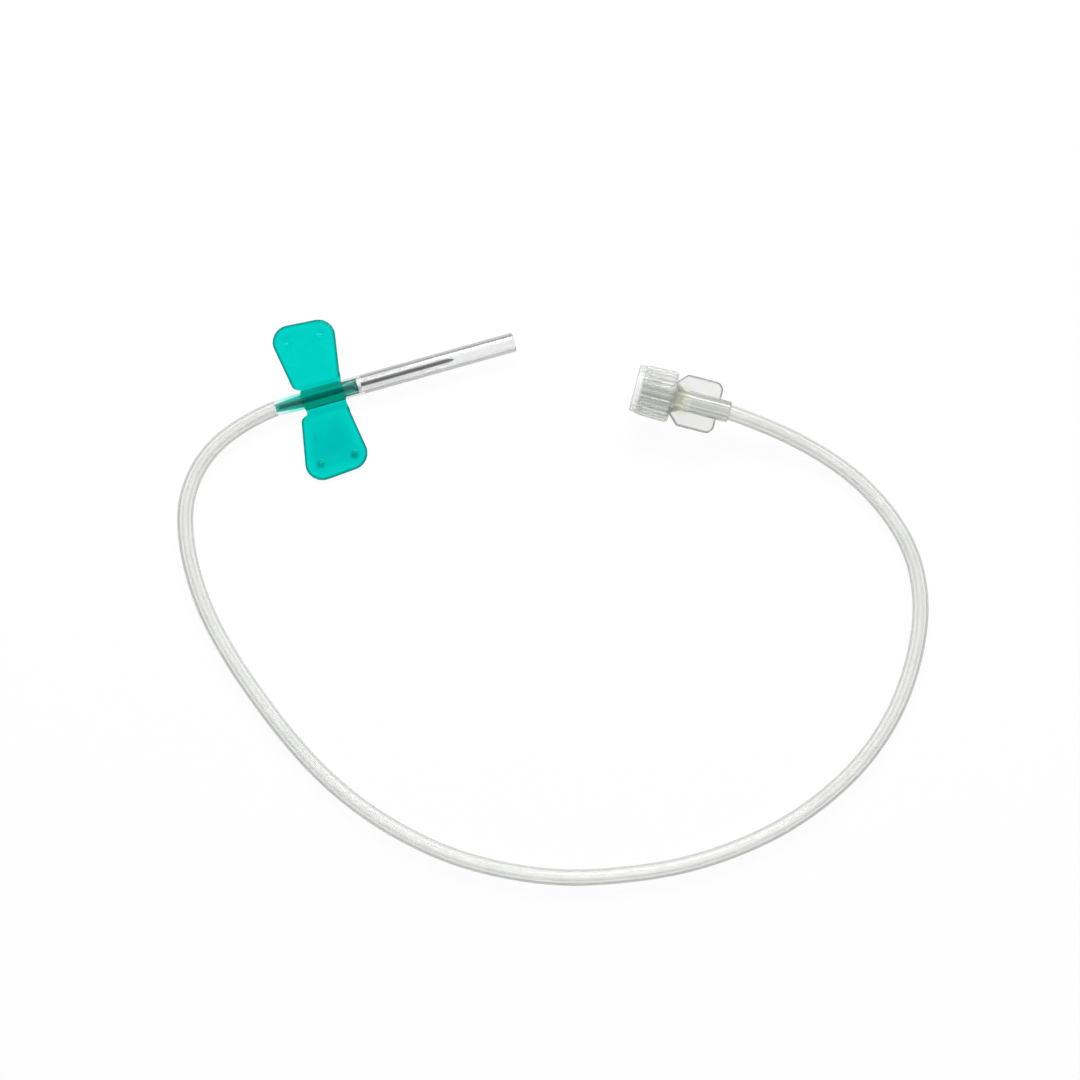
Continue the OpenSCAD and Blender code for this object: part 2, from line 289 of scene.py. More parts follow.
def corner_arcs(corners, radii, steps=9):
    """A convex outline's points, with each corner replaced by its arc."""
    corners = np.asarray(corners, dtype=float)
    out = []
    for i, r in enumerate(radii):
        b = corners[i]
        u = corners[i - 1] - b
        v = corners[(i + 1) % len(corners)] - b
        u, v = u / np.linalg.norm(u), v / np.linalg.norm(v)
        half = math.acos(float(u @ v)) / 2
        centre = b + (u + v) / np.linalg.norm(u + v) * r / math.sin(half)
        one, two = b + u * r / math.tan(half), b + v * r / math.tan(half)
        t = np.linspace(0, 1, steps)[:, None]
        chord = one * (1 - t) + two * t - centre
        out.append(centre + r * chord / np.linalg.norm(chord, axis=1, keepdims=True))
    return np.concatenate(out)


def outline_distance(x, y, outline):
    """Signed distance to a closed outline: nearest edge, negative where the winding is odd."""
    a = outline
    b = np.roll(outline, -1, axis=0)
    best = np.full(np.broadcast(x, y).shape, 1e9)
    inside = np.zeros(best.shape, dtype=bool)
    for (ax, ay), (bx, by) in zip(a, b):
        ex, ey = bx - ax, by - ay
        t = np.clip(((x - ax) * ex + (y - ay) * ey) / (ex * ex + ey * ey), 0, 1)
        best = np.minimum(best, np.hypot(x - ax - t * ex, y - ay - t * ey))
        if ay != by:
            crosses = (ay > y) != (by > y)
            inside ^= crosses & (x < ax + (y - ay) * ex / ey)
    return np.where(inside, -best, best)


# %% [markdown]
# ## Shader building blocks
# A clear moulding is never quite even: it has faint flow clouds, a fine skin and a few tiny
# scuffs. One node group makes those three masks from object coordinates, and every material
# uses it with its own sizes and strengths. The helpers before it each add a node or two,
# link them, and hand back the output.

# %% Helpers that add nodes
def new_material(name):
    """A material with nodes, and its node tree."""
    material = bpy.data.materials.new(name)
    material.use_nodes = True
    return material, material.node_tree


def map_range(tree, value, from_low, from_high, to_low, to_high):
    """Map a value from one range to another, and clamp it there."""
    span = tree.nodes.new("ShaderNodeMapRange")
    span.inputs["From Min"].default_value = from_low
    span.inputs["From Max"].default_value = from_high
    span.inputs["To Min"].default_value = to_low
    span.inputs["To Max"].default_value = to_high
    tree.links.new(value, span.inputs["Value"])
    return span.outputs["Result"]


def number_range(tree, mask, low, high):
    """A number that runs from low to high with a noise mask."""
    return map_range(tree, mask, 0.25, 0.85, low, high)


def colour_range(tree, mask, low, high, places=(0.3, 0.7)):
    """A colour that runs from low to high as the mask goes from one place to the other."""
    ramp = tree.nodes.new("ShaderNodeValToRGB")
    for step, place, colour in zip(ramp.color_ramp.elements, places, (low, high)):
        step.position = place
        step.color = (*colour, 1)
    tree.links.new(mask, ramp.inputs["Fac"])
    return ramp.outputs["Color"]


def combine(tree, operation, first, second):
    """One Math node with both of its inputs linked."""
    node = tree.nodes.new("ShaderNodeMath")
    node.operation = operation
    tree.links.new(first, node.inputs[0])
    tree.links.new(second, node.inputs[1])
    return node.outputs[0]


def mix_colours(tree, factor, first, second, blend_type="MIX"):
    """One colour Mix node. A colour in numbers is set there, and a socket is linked."""
    mix = tree.nodes.new("ShaderNodeMix")
    mix.data_type = "RGBA"
    mix.blend_type = blend_type
    tree.links.new(factor, mix.inputs["Factor"])
    for name, colour in (("A", first), ("B", second)):
        if isinstance(colour, tuple):
            mix.inputs[name].default_value = (*colour, 1)
        else:
            tree.links.new(colour, mix.inputs[name])
    return mix.outputs["Result"]


def mix_shaders(tree, factor, first, second):
    """A node with the first shader where factor is nought, the second where it is one."""
    mix = tree.nodes.new("ShaderNodeMixShader")
    tree.links.new(factor, mix.inputs["Fac"])
    tree.links.new(first.outputs[0], mix.inputs[1])
    tree.links.new(second.outputs[0], mix.inputs[2])
    return mix


def attribute(tree, name):
    """The numbers that paint stored on the mesh under this name, or nought without them."""
    node = tree.nodes.new("ShaderNodeAttribute")
    node.attribute_name = name
    return node.outputs["Fac"]


def coordinate(tree, socket_name, axis):
    """One axis of a texture coordinate: metres for Object, a share of the length for UV."""
    place = tree.nodes.new("ShaderNodeTexCoord")
    split = tree.nodes.new("ShaderNodeSeparateXYZ")
    tree.links.new(place.outputs[socket_name], split.inputs[0])
    return split.outputs[axis]


# %% Shared node group for moulded and extruded skins
def make_skin_group():
    """Masks from noise at three scales: Cloud for colour, Satin for roughness, Height."""
    group = bpy.data.node_groups.new("plastic_skin", "ShaderNodeTree")
    sockets = (
        ("INPUT", "NodeSocketFloat", ("Cloud Size", "Grain Size", "Scuff")),
        ("INPUT", "NodeSocketVector", ("Stretch",)),
        ("OUTPUT", "NodeSocketFloat", ("Cloud", "Satin", "Height")),
    )
    for direction, kind, names in sockets:
        for name in names:
            group.interface.new_socket(name=name, in_out=direction, socket_type=kind)
    nodes, links = group.nodes, group.links
    inside = nodes.new("NodeGroupInput")
    outside = nodes.new("NodeGroupOutput")
    place = nodes.new("ShaderNodeTexCoord")
    stretch = nodes.new("ShaderNodeVectorMath")
    stretch.operation = "MULTIPLY"
    links.new(place.outputs["Object"], stretch.inputs[0])
    links.new(inside.outputs["Stretch"], stretch.inputs[1])

    def noise(size_socket, detail, roughness, distortion=0.0):
        """Noise over the stretched coordinates, at a size that the group is given."""
        n = nodes.new("ShaderNodeTexNoise")
        n.inputs["Detail"].default_value = detail
        n.inputs["Roughness"].default_value = roughness
        n.inputs["Distortion"].default_value = distortion
        links.new(stretch.outputs[0], n.inputs["Vector"])
        links.new(size_socket, n.inputs["Scale"])
        return n.outputs["Fac"]

    cloud = noise(inside.outputs["Cloud Size"], 3, 0.55, 0.6)
    grain = noise(inside.outputs["Grain Size"], 2, 0.5)
    scuff = combine(group, "MULTIPLY", cloud, grain)
    worn = combine(group, "MULTIPLY", scuff, inside.outputs["Scuff"])
    links.new(cloud, outside.inputs["Cloud"])
    links.new(combine(group, "ADD", grain, worn), outside.inputs["Satin"])
    links.new(combine(group, "ADD", cloud, worn), outside.inputs["Height"])
    return group


SKIN = make_skin_group()


def add_skin(tree, cloud_size, grain_size, stretch, scuff, bump, bump_depth):
    """The skin group's outputs in a material, with its height linked to the normal."""
    skin = tree.nodes.new("ShaderNodeGroup")
    skin.node_tree = SKIN
    skin.inputs["Cloud Size"].default_value = cloud_size
    skin.inputs["Grain Size"].default_value = grain_size
    skin.inputs["Stretch"].default_value = stretch
    skin.inputs["Scuff"].default_value = scuff
    ripple = tree.nodes.new("ShaderNodeBump")
    ripple.inputs["Strength"].default_value = bump
    ripple.inputs["Distance"].default_value = bump_depth
    tree.links.new(skin.outputs["Height"], ripple.inputs["Height"])
    tree.links.new(ripple.outputs["Normal"], tree.nodes["Principled BSDF"].inputs["Normal"])
    return skin.outputs


def paint(piece, name, values):
    """Store one number per vertex, for the piece's material to read."""
    layer = piece.data.attributes.new(name, "FLOAT", "POINT")
    layer.data.foreach_set("value", np.asarray(values, dtype=np.float32))


def vertices_mm(piece):
    """The piece's vertices as an array, in millimetres."""
    points = np.empty(3 * len(piece.data.vertices))
    piece.data.vertices.foreach_get("co", points)
    return points.reshape(-1, 3) / MM


# %% See-through plastic
CLEAR = (0.97, 0.975, 0.965)
BUMP_DEPTH = 0.1 * MM


def plastic(
    name,
    dark,
    light,
    roughness,
    ior=1.5,
    transmission=1.0,
    bump=0.02,
    cloud_size=300.0,
    grain_size=3000.0,
    stretch=(1.0, 1.0, 1.0),
    scuff=0.3,
    absorb=None,
    specular=0.5,
    wetted=(),
    grazing=(0.45, 0.95, 0.5),
    rim=0.0,
    passing=0.0,
    stain_and_shade=None,
    shade_colour=(0.02, 0.025, 0.02),
    painted_bands=(),
    dyed=None,
    mirror_tint=(1.0, 1.0, 1.0),
    opened=0.0,
):
    """A see-through plastic: Principled glass whose colour, roughness and skin vary.

    dark, light and roughness are ranges that the skin's masks run through. grazing is
    (from, to, strength): where the surface turns away from the eye by that much, its colour
    is darkened by that strength towards shade_colour, painted shade that stands for the dark
    surroundings seen in a clear edge. rim paints that shade along the "rim" attribute of
    the mesh.

    Some light goes straight on, as if there were no wall: the share passing everywhere, for
    a wall behind many others, and the share opened where the "open" attribute is one, such
    as on inner walls. wetted lists (socket name, full, none, most): along that coordinate
    the share falls from most to nothing, for walls bonded to or seated on the piece inside
    them. dyed is (socket name, near, far, colour): the tint of that light, from the colour
    at near to clear at far.

    stain_and_shade is (colour, mask, least): a colour where the "stain_and_shade" attribute is
    high, in clouds of that skin mask. painted_bands lists (turn away from the eye, brightness):
    painted light and shade, the light and dark lines that refraction draws along a round clear
    wall, left out where the "plain" attribute is one. mirror_tint colours what the skin
    mirrors, and absorb is the colour and density of the dye inside.
    """
    material, tree = new_material(name)
    nodes, links = tree.nodes, tree.links
    shader, out = nodes["Principled BSDF"], nodes["Material Output"]
    skin = add_skin(tree, cloud_size, grain_size, stretch, scuff, bump, BUMP_DEPTH)
    turned = nodes.new("ShaderNodeLayerWeight")
    turned.inputs["Blend"].default_value = 0.5
    # Painted shade: darker where the surface turns away from the eye, and along the rim
    # attribute.
    painted_shade = map_range(tree, turned.outputs["Facing"], *grazing[:2], 0.0, grazing[2])
    if rim > 0:
        rim_shade = map_range(tree, attribute(tree, "rim"), 0.0, 1.0, 0.0, rim)
        painted_shade = combine(tree, "MAXIMUM", painted_shade, rim_shade)
    tone = colour_range(tree, skin["Cloud"], dark, light)
    # The stain colour is adhesive on the connector, and darker teal with painted shade in the
    # dimples on the moulding.
    if stain_and_shade is not None:
        colour, mask, least = stain_and_shade
        clouds = map_range(tree, skin[mask], 0.42, 0.62, least, 1.0)
        there = combine(tree, "MULTIPLY", attribute(tree, "stain_and_shade"), clouds)
        tone = mix_colours(tree, there, tone, colour)
    # Painted light and shade: light and dark lines by how far the surface turns from the eye.
    if painted_bands:
        lines = nodes.new("ShaderNodeValToRGB")
        steps = lines.color_ramp.elements
        for turn, _ in painted_bands[1:-1]:
            steps.new(turn)
        for step, (turn, level) in zip(steps, painted_bands):
            step.position = turn
            step.color = (level, level, level, 1)
        links.new(turned.outputs["Facing"], lines.inputs["Fac"])
        banded = map_range(tree, attribute(tree, "plain"), 0.0, 1.0, 1.0, 0.0)
        tone = mix_colours(tree, banded, tone, lines.outputs["Color"], "MULTIPLY")
    tone = mix_colours(tree, painted_shade, tone, shade_colour, "MULTIPLY")
    links.new(tone, shader.inputs["Base Color"])
    satin = number_range(tree, skin["Satin"], *roughness)
    links.new(satin, shader.inputs["Roughness"])
    shader.inputs["IOR"].default_value = ior
    shader.inputs["Specular IOR Level"].default_value = specular
    shader.inputs["Specular Tint"].default_value = (*mirror_tint, 1)
    shader.inputs["Transmission Weight"].default_value = transmission
    shader.inputs["Metallic"].default_value = 0.0
    if absorb is not None:
        colour, density = absorb
        volume = nodes.new("ShaderNodeVolumeAbsorption")
        volume.inputs["Color"].default_value = (*colour, 1)
        volume.inputs["Density"].default_value = density
        links.new(volume.outputs["Volume"], out.inputs["Volume"])
    if wetted or passing:
        least = nodes.new("ShaderNodeValue")
        least.outputs[0].default_value = passing
        share = least.outputs[0]
        for socket_name, full, none, most in wetted:
            along = coordinate(tree, socket_name, "X")
            part = map_range(tree, along, full, none, most, 0.0)
            share = combine(tree, "MAXIMUM", share, part)
        if opened > 0:
            part = map_range(tree, attribute(tree, "open"), 0.0, 1.0, 0.0, opened)
            share = combine(tree, "MAXIMUM", share, part)
        straight = nodes.new("ShaderNodeBsdfTransparent")
        straight.inputs["Color"].default_value = (*CLEAR, 1)
        if dyed is not None:
            socket_name, near, far, colour = dyed
            along = coordinate(tree, socket_name, "X")
            off = map_range(tree, along, near, far, 0.0, 1.0)
            tint = mix_colours(tree, off, colour, CLEAR)
            links.new(tint, straight.inputs["Color"])
        mix = mix_shaders(tree, share, shader, straight)
        links.new(mix.outputs[0], out.inputs["Surface"])
    return material


def dress(piece, material, body, *nodes_replaced, slot=None):
    """Give a piece its material and body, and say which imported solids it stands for."""
    piece.data.materials.clear()
    piece.data.materials.append(material)
    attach(piece, body)
    if nodes_replaced:
        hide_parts(*nodes_replaced)


# %% [markdown]
# ## Tubing
# Soft clear tubing lies in one open loop, rises a little into the connector and swells where
# it is stretched over the hub's spigot. It is a real tube, with a bore, because the light
# band down its middle is the bore seen through the wall. The route is a given list of points,
# and a smooth curve runs through them.

# %% Sizes that the tubing shares with the hub and the connector
hub_low, hub_high = box_mm("wing_moulding")
cap_low, cap_high = box_mm("lock_cap")
sheath_low, sheath_high = box_mm("needle_sheath")
AXIS_H = (sheath_low[2] + sheath_high[2]) / 2
LOCK_H = (cap_low[2] + cap_high[2]) / 2
LOCK_PLACE = np.array([59.5, -16.6, LOCK_H])
LOCK_TURN = math.radians(-31)
LOCK_WAY = np.array([math.cos(LOCK_TURN), math.sin(LOCK_TURN), 0.0])
WEB_REAR = 3.4
SPIGOT_END = hub_low[0]
FRONT_L = 5.7
CONE_END = FRONT_L + 2.3
LOCK_LENGTH = CONE_END + 9.1
TUBE_STOP = LOCK_LENGTH - 7.5
TUBE_R = 1.5
BORE_R = 0.75
TUBE_SWELL = 0.15
TUBE_TRIM = 0.03
BORE_PLAY, BORE_SWELL = 0.07, 0.4

# %% Route of the tubing: x, y and its rise above the table
ROUTE = np.array([
    [-12.9, -0.6, 0.2], [-17.7, -1.9, 0], [-22.3, -4.1, 0], [-26.5, -7.7, 0],
    [-29.8, -12.9, 0], [-31.5, -19.4, 0], [-31.9, -27, 0], [-31.1, -35, 0],
    [-29.1, -43.3, 0], [-26.2, -51.8, 0], [-22.6, -60.6, 0], [-18.2, -69.2, 0],
    [-12.7, -77.2, 0], [-6.1, -84.4, 0], [1.5, -90.7, 0], [10.3, -95.9, 0],
    [19.9, -99.9, 0], [30.2, -102.4, 0], [40.8, -103.8, 0], [51.2, -103.7, 0],
    [61.3, -102.2, 0], [70.9, -99.1, 0], [79.7, -94.5, 0], [87.3, -88.3, 0],
    [93.2, -81, 0], [97.4, -73.3, 0], [99.5, -66, 0], [99.7, -59, 0],
    [98.1, -52.1, 0], [95.1, -45.4, 0], [91, -39.5, 0.2], [86.2, -34.5, 0.9],
    [81.1, -30.3, 2.1],
])
ROUTE[:, 2] += TUBE_R


def smooth_route(knots, per_span):
    """Catmull-Rom curve: each span is a cubic through its two knots, with slopes that
    follow the knots on either side."""
    a, b, c, d = knots[:-3, None], knots[1:-2, None], knots[2:-1, None], knots[3:, None]
    t = np.linspace(0, 1, per_span, endpoint=False)[None, :, None]
    spans = (
        2 * b + (c - a) * t + (2 * a - 5 * b + 4 * c - d) * t**2
        + (3 * b - a - 3 * c + d) * t**3
    ) / 2
    return np.concatenate([spans.reshape(-1, 3), knots[-2:-1]])


def tubing_line():
    """Centreline: straight over the spigot, along the route, straight into the connector."""
    start = np.array([SPIGOT_END, 0, AXIS_H])
    mouth = LOCK_PLACE + LOCK_LENGTH * LOCK_WAY
    stop = LOCK_PLACE + TUBE_STOP * LOCK_WAY
    shoulder = np.array([-WEB_REAR - 0.02, 0, AXIS_H])
    free = smooth_route(np.vstack([shoulder, start, ROUTE, mouth, stop]), 12)
    on_spigot = shoulder + (start - shoulder) * np.linspace(0, 1, 9)[:-1, None]
    in_lock = mouth + (stop - mouth) * np.linspace(0, 1, 9)[1:, None]
    return np.vstack([on_spigot, free, in_lock])


# %% Sweep a hollow tube along the line
def swept_tube(name, line, outer, inner, around=40):
    """A tube whose outer and inner radii are arrays along its line, closed at both ends.

    Each ring stands square to the line: side is way x up, and point (i, a) is
    line_i + r_i (cos a up_i + sin a side_i). Rings run out along the outer wall and back
    along the inner one, so the grid closes on itself.
    """
    way = np.gradient(line, axis=0)
    way /= np.linalg.norm(way, axis=1, keepdims=True)
    side = np.cross(way, [0, 0, 1.0])
    side /= np.linalg.norm(side, axis=1, keepdims=True)
    up = np.cross(side, way)
    order = np.concatenate([np.arange(len(line)), np.arange(len(line))[::-1]])
    radius = np.concatenate([outer, inner[::-1]])
    a = np.linspace(0, 2 * math.pi, around, endpoint=False)[None, :, None]
    spoke = np.cos(a) * up[order][:, None] + np.sin(a) * side[order][:, None]
    points = (line[order][:, None] + radius[:, None, None] * spoke).reshape(-1, 3)
    along = np.concatenate([[0], np.cumsum(np.linalg.norm(np.diff(line, axis=0), axis=1))])
    uv = np.stack(
        [
            np.repeat(along[order], around) / along[-1],
            np.tile(np.linspace(0, 1, around, endpoint=False), len(order)),
        ],
        axis=-1,
    )
    return make_piece(name, points, grid_faces(len(order), around)[:, ::-1], uv=uv), along[-1]


line = tubing_line()
past_shoulder = np.clip((-WEB_REAR - line[:, 0]) / (-WEB_REAR - SPIGOT_END), 0, 1)
near_hub = np.abs(line[:, 1]) < 0.5
swell = np.where(near_hub, 1 - past_shoulder, 0)
on_spigot = near_hub & (past_shoulder < 1)
outer_r = TUBE_R - TUBE_TRIM + TUBE_SWELL * swell
inner_r = BORE_R + np.where(on_spigot, BORE_PLAY + BORE_SWELL * swell, 0)
tubing, tubing_length = swept_tube("tubing_soft", line, outer_r, inner_r)
print("tubing length:", round(tubing_length, 1), "mm")

# %% Finish of the tubing, where the distances in millimetres are from its two ends
# The tubing's bands are painted light and shade: light and dark lines along its length by how
# far the wall turns from the eye.
soft_clear = plastic(
    "clear_soft_tubing",
    dark=(0.88, 0.89, 0.86),
    light=(0.94, 0.945, 0.925),
    roughness=(0.08, 0.16),
    ior=1.42,
    transmission=0.64,
    grazing=(0.6, 1.0, 0.0),
    passing=0.33,
    painted_bands=(
        (0.0, 1.0), (0.04, 0.98), (0.09, 0.76), (0.15, 1.0), (0.28, 1.0), (0.42, 0.88),
        (0.6, 1.0), (1.0, 1.0),
    ),
    bump=0.006,
    cloud_size=160.0,
    grain_size=1500.0,
    scuff=0.2,
    wetted=(
        ("UV", 5.2 / tubing_length, 5.6 / tubing_length, 0.92),
        ("UV", 1 - 7.2 / tubing_length, 1 - 7.7 / tubing_length, 0.92),
    ),
    dyed=("UV", 1.5 / tubing_length, 5.6 / tubing_length, (0.45, 0.97, 0.94)),
)
dress(tubing, soft_clear, "wing_set", "tubing", slot="tubing")

# %% [markdown]
# ## Hub and wings
# The teal moulding is one piece of soft plastic: a barrel on a thin web, two grip plates with
# rounded corners, a nose for the sheath and a tapered spigot for the tubing. Thin plates are
# bright and the barrel is dark, because the dye takes more light the further it travels. So
# the colour sits in the volume and the shape decides how deep it looks, with painted shade
# added along the plates' outline and on one side of the barrel.

# %% The moulding as a field
BARREL_R = (hub_high[2] - hub_low[2]) / 2
WEB_FRONT = 4.5
NOSE_END = hub_high[0]
NOSE_R = 1.45
SPIGOT_R, SPIGOT_ROOT_R = 0.8, 1.22
NEEDLE_R, NEEDLE_FIT = 0.4, 0.01
WELL_DEPTH, WELL_SLOPE = 0.9, 0.62
WING_T = 0.9
WEB_T = 0.55
PLATE_ROOT = 2.7
PLATE = corner_arcs(
    [[WEB_FRONT, PLATE_ROOT], [6.4, 15.1], [-7.0, 16.1], [-4.7, PLATE_ROOT]],
    [0.3, 3.3, 3.3, 1.3],
)
PIP_X, PIP_Y, PIP_R, PIP_H = 3.4, 12.6, 0.75, 0.35
DIMPLE_R, DIMPLE_LIFT = 1.25, 0.9
HUB_STEP, HUB_REACH = 0.115, 16.4


def moulding_field(x, y, z):
    """Union of plates, web, barrel, nose, spigot and pips, less the recesses and bore.

    The last number of each blend is the size of its fillet. A recess is the bottom of a
    ball held above one wing, and the well in the nose is a cone round the needle.
    """
    radial = np.hypot(y, z - AXIS_H)
    plan = outline_distance(x, np.abs(y), PLATE)
    plate = rounded(plan, between(z, 0, WING_T), 0.42)
    web_plan = np.maximum(between(x, -WEB_REAR, WEB_FRONT), np.abs(y) - PLATE_ROOT - 1)
    web = rounded(web_plan, between(z, 0, WEB_T), 0.12)
    hub = blend(plate, web, 0.6)
    hub = blend(hub, bar(x, radial, -WEB_REAR, WEB_FRONT, BARREL_R, edge=0.22), 0.7)
    hub = blend(hub, bar(x, radial, WEB_FRONT - 1, NOSE_END, NOSE_R, edge=0.18), 0.12)
    inside_web = -WEB_REAR + 0.5
    spigot = bar(x, radial, SPIGOT_END, inside_web, SPIGOT_R, SPIGOT_ROOT_R, edge=0.08)
    hub = blend(hub, spigot, 0.08)
    to_pip = np.hypot(np.abs(x) - PIP_X, y + PIP_Y)
    pip = rounded(to_pip - PIP_R, between(z, 0.2, WING_T + PIP_H), 0.6)
    hub = blend(hub, pip, 0.35)
    to_dimple = np.hypot(np.abs(x) - PIP_X, y - PIP_Y)
    dimple = np.hypot(to_dimple, z - WING_T - DIMPLE_LIFT) - DIMPLE_R
    hub = -blend(-hub, dimple, 0.12)
    well = radial - NEEDLE_R - NEEDLE_FIT - WELL_SLOPE * (x - NOSE_END + WELL_DEPTH)
    hub = cut(hub, np.where(x > NOSE_END - 2, well * 0.85, 1))
    hub = cut(hub, radial - NEEDLE_R - NEEDLE_FIT)
    return np.maximum(hub, -z)


moulding = make_piece(
    "wing_hub",
    *surface_net(
        moulding_field,
        [
            steps_of(SPIGOT_END, NOSE_END, HUB_STEP),
            steps_of(-HUB_REACH, HUB_REACH, HUB_STEP),
            steps_of(0, 2 * BARREL_R, 0.1),
        ],
    ),
)


# %% Painted shade and darker spots on the moulding
def moulding_shade_and_tone(piece):
    """Painted shade: one at the plates' outline, falling off over 0.4 mm, and less on the +y
    side of the barrel. Nose and spigot have less again, as a darker tone of the plastic."""
    x, y, z = vertices_mm(piece).T
    inwards = -outline_distance(x, np.abs(y), PLATE)
    # Painted shade: a dark line along the plates' outline.
    edge = np.clip(1.25 - inwards / 0.44, 0, 1) * (np.abs(y) > PLATE_ROOT + 0.4)
    bonded = np.clip((-WEB_REAR - 0.1 - x) / 0.3, 0, 1) * 0.2
    nose = np.clip((x - WEB_FRONT - 0.05) / 0.2, 0, 1) * 0.1
    # Painted light and shade: the barrel's +y side is darker than its other side, which light
    # falling through it brightens.
    upper = np.clip((y - 0.1) / 0.8, 0, 1) * (np.abs(y) < BARREL_R) * (z > WING_T)
    upper = upper * np.clip((x + WEB_REAR) / 6, 0, 1) * 0.42
    bonded, nose = bonded * (np.abs(y) < 1.4), nose * (np.abs(y) < 1.6)
    return np.maximum.reduce([edge, upper, bonded, nose])


def moulding_spots_and_shade(piece):
    """Darker teal at the pips, on the webs and inside one of the plates, and painted shade in
    the dimples on the other plate.

    Each spot is a bell curve, exp of minus the squared distance over its width.
    """
    x, y, z = vertices_mm(piece).T
    to_pip = np.hypot(np.abs(x) - PIP_X, np.abs(y) - PIP_Y)
    # The dimples on the other plate get a lighter share of it: painted shade in a recess.
    pips = np.exp(-((to_pip / 0.95) ** 2)) * np.where(y < 0, 1.0, 0.3)
    inwards = -outline_distance(x, np.abs(y), PLATE)
    middle = np.clip((inwards - 0.5) / 1.8, 0, 1)
    middle = middle * (0.07 + 0.30 * np.exp(-(((y + 9.0) / 6.0) ** 2)))
    web = np.clip((PLATE_ROOT + 0.5 - np.abs(y)) / 0.5, 0, 1) * 0.25
    return np.maximum.reduce([pips, middle, web * (np.abs(y) > BARREL_R)])


paint(moulding, "rim", moulding_shade_and_tone(moulding))
paint(moulding, "stain_and_shade", moulding_spots_and_shade(moulding))

# %% Teal soft plastic
# Painted shade on the teal: dark teal at grazing edges and along the rim attribute. Its stain
# colour marks darker spots, and painted shade in the dimples.
teal = plastic(
    "teal_soft_plastic",
    dark=(0.0, 0.86, 0.83),
    light=(0.005, 0.93, 0.91),
    roughness=(0.10, 0.17),
    ior=1.49,
    transmission=0.92,
    bump=0.008,
    cloud_size=330.0,
    grain_size=1500.0,
    scuff=0.2,
    absorb=((0.0, 0.90, 0.858), 3000.0),
    specular=0.12,
    mirror_tint=(0.03, 0.5, 0.46),
    grazing=(0.3, 0.9, 0.5),
    rim=0.92,
    stain_and_shade=((0.0, 0.30, 0.30), "Cloud", 0.6),
    shade_colour=(0.0, 0.13, 0.12),
)
dress(moulding, teal, "wing_set", "wing_moulding", slot="wing_moulding")

# %% [markdown]
# ## Needle and bead
# The needle is drawn steel tube, ground at the point to one long bevel and two short ones.
# Its long shaft needs few cells and its point needs many, so the net's steps are uneven. A
# clear bead of cured adhesive runs out along the shaft where it leaves the nose.

# %% Needle with its ground point
needle_low, needle_high = box_mm("needle")
TIP = needle_high[0]
BEVEL = math.radians(14)
GRIND = math.radians(20)
GRIND_TURN = math.radians(38)
NEEDLE_BORE_R = 0.25
SHAFT_STEP, POINT_STEP = 0.6, 0.045
POINT_START = TIP - 3.4


def needle_field(x, y, z):
    """A hollow bar, cut by the bevel plane and by two steeper planes turned to each side."""
    up = z - AXIS_H
    radial = np.hypot(y, up)
    tube = rounded(radial - NEEDLE_R, between(x, needle_low[0], TIP + 1), 0.02)
    tube = cut(tube, radial - NEEDLE_BORE_R)
    bevel = (up + NEEDLE_R) * math.cos(BEVEL) + (x - TIP) * math.sin(BEVEL)
    tube = np.maximum(tube, bevel)
    for turn in (-GRIND_TURN, GRIND_TURN):
        turned = up * math.cos(turn) + y * math.sin(turn)
        grind = (turned + NEEDLE_R) * math.cos(GRIND) + (x - TIP) * math.sin(GRIND)
        tube = np.maximum(tube, grind)
    return tube


shaft_steps = np.arange(needle_low[0] - 0.3, POINT_START, SHAFT_STEP)
point_steps = np.arange(POINT_START, TIP + 0.2, POINT_STEP)
needle = make_piece(
    "needle_steel",
    *surface_net(
        needle_field,
        [
            np.concatenate([shaft_steps, point_steps]),
            steps_of(-NEEDLE_R, NEEDLE_R, POINT_STEP),
            steps_of(AXIS_H - NEEDLE_R, AXIS_H + NEEDLE_R, POINT_STEP),
        ],
    ),
)


# %% Drawn steel with grinding lines
def steel():
    """Metal whose roughness and bump follow a noise pulled long along the shaft. Its base colour
    is near black: painted dark reflection, for the dark room that the steel mirrors.
    """
    material, tree = new_material("drawn_steel")
    links, shader = tree.links, tree.nodes["Principled BSDF"]
    skin = add_skin(tree, 1500.0, 9000.0, (0.05, 1.0, 1.0), 0.6, 0.15, 0.02 * MM)
    # Painted reflection: a near-black base stands for the dark room that the steel mirrors.
    grey = colour_range(tree, skin["Cloud"], (0.03, 0.031, 0.033), (0.09, 0.09, 0.095))
    links.new(grey, shader.inputs["Base Color"])
    satin = number_range(tree, skin["Satin"], 0.16, 0.34)
    links.new(satin, shader.inputs["Roughness"])
    shader.inputs["Metallic"].default_value = 1.0
    return material


dress(needle, steel(), "wing_set", "needle", slot="needle")


# %% Bead of clear adhesive
BEAD_RIM, BEAD_CROWN = 0.97, 0.7


def bead_profile():
    """Closed outline: up the well's cone, round a soft crown, and back along the shaft."""
    shaft_r, back = NEEDLE_R + NEEDLE_FIT, NOSE_END - 0.78
    t = np.linspace(0, math.pi / 2, 14)
    crown_x = NOSE_END + BEAD_CROWN * np.sin(t)
    crown_r = shaft_r + (BEAD_RIM - shaft_r) * np.cos(t)
    shaft = [(NOSE_END + 0.3, shaft_r), (back, shaft_r)]
    return [(back, shaft_r + 0.02)] + list(zip(crown_x, crown_r)) + shaft


bead = turned_piece("bond_bead_clear", bead_profile()[::-1], AXIS_H, around=48)
bead_clear = plastic(
    "clear_bond",
    dark=(0.95, 0.95, 0.94),
    light=(0.99, 0.99, 0.985),
    roughness=(0.03, 0.10),
    ior=1.5,
    transmission=0.15,
    grazing=(0.5, 1.0, 0.0),
    bump=0.01,
    cloud_size=900.0,
    grain_size=5000.0,
)
dress(bead, bead_clear, "wing_set", "bond_bead", slot="bond_bead")

